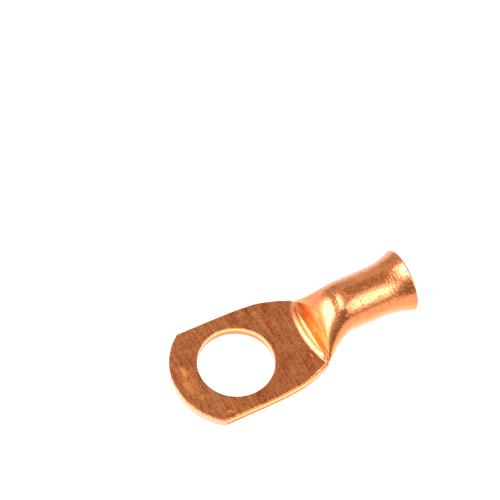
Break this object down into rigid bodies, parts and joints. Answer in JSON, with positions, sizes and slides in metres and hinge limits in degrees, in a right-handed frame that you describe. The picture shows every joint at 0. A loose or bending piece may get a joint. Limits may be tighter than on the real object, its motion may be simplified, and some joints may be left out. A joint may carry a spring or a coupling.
{
  "type": "copper cable lug",
  "caption": "Copper tube lug for a battery or power cable, with a flat palm pierced for a stud and a bell-mouthed barrel that is crimped on the conductor.",
  "frame": {"origin": "centre of the stud hole on the palm's contact face", "axes": "+X from the stud hole to the barrel's mouth, +Z out of the palm's top face"},
  "size_m": [0.0426, 0.0186, 0.0111],
  "materials": {
    "copper": "bare drawn copper, bright on the barrel and rubbed brown on the palm"
  },
  "bodies": {
    "root": {"lug": "copper"}
  },
  "joints": []
}
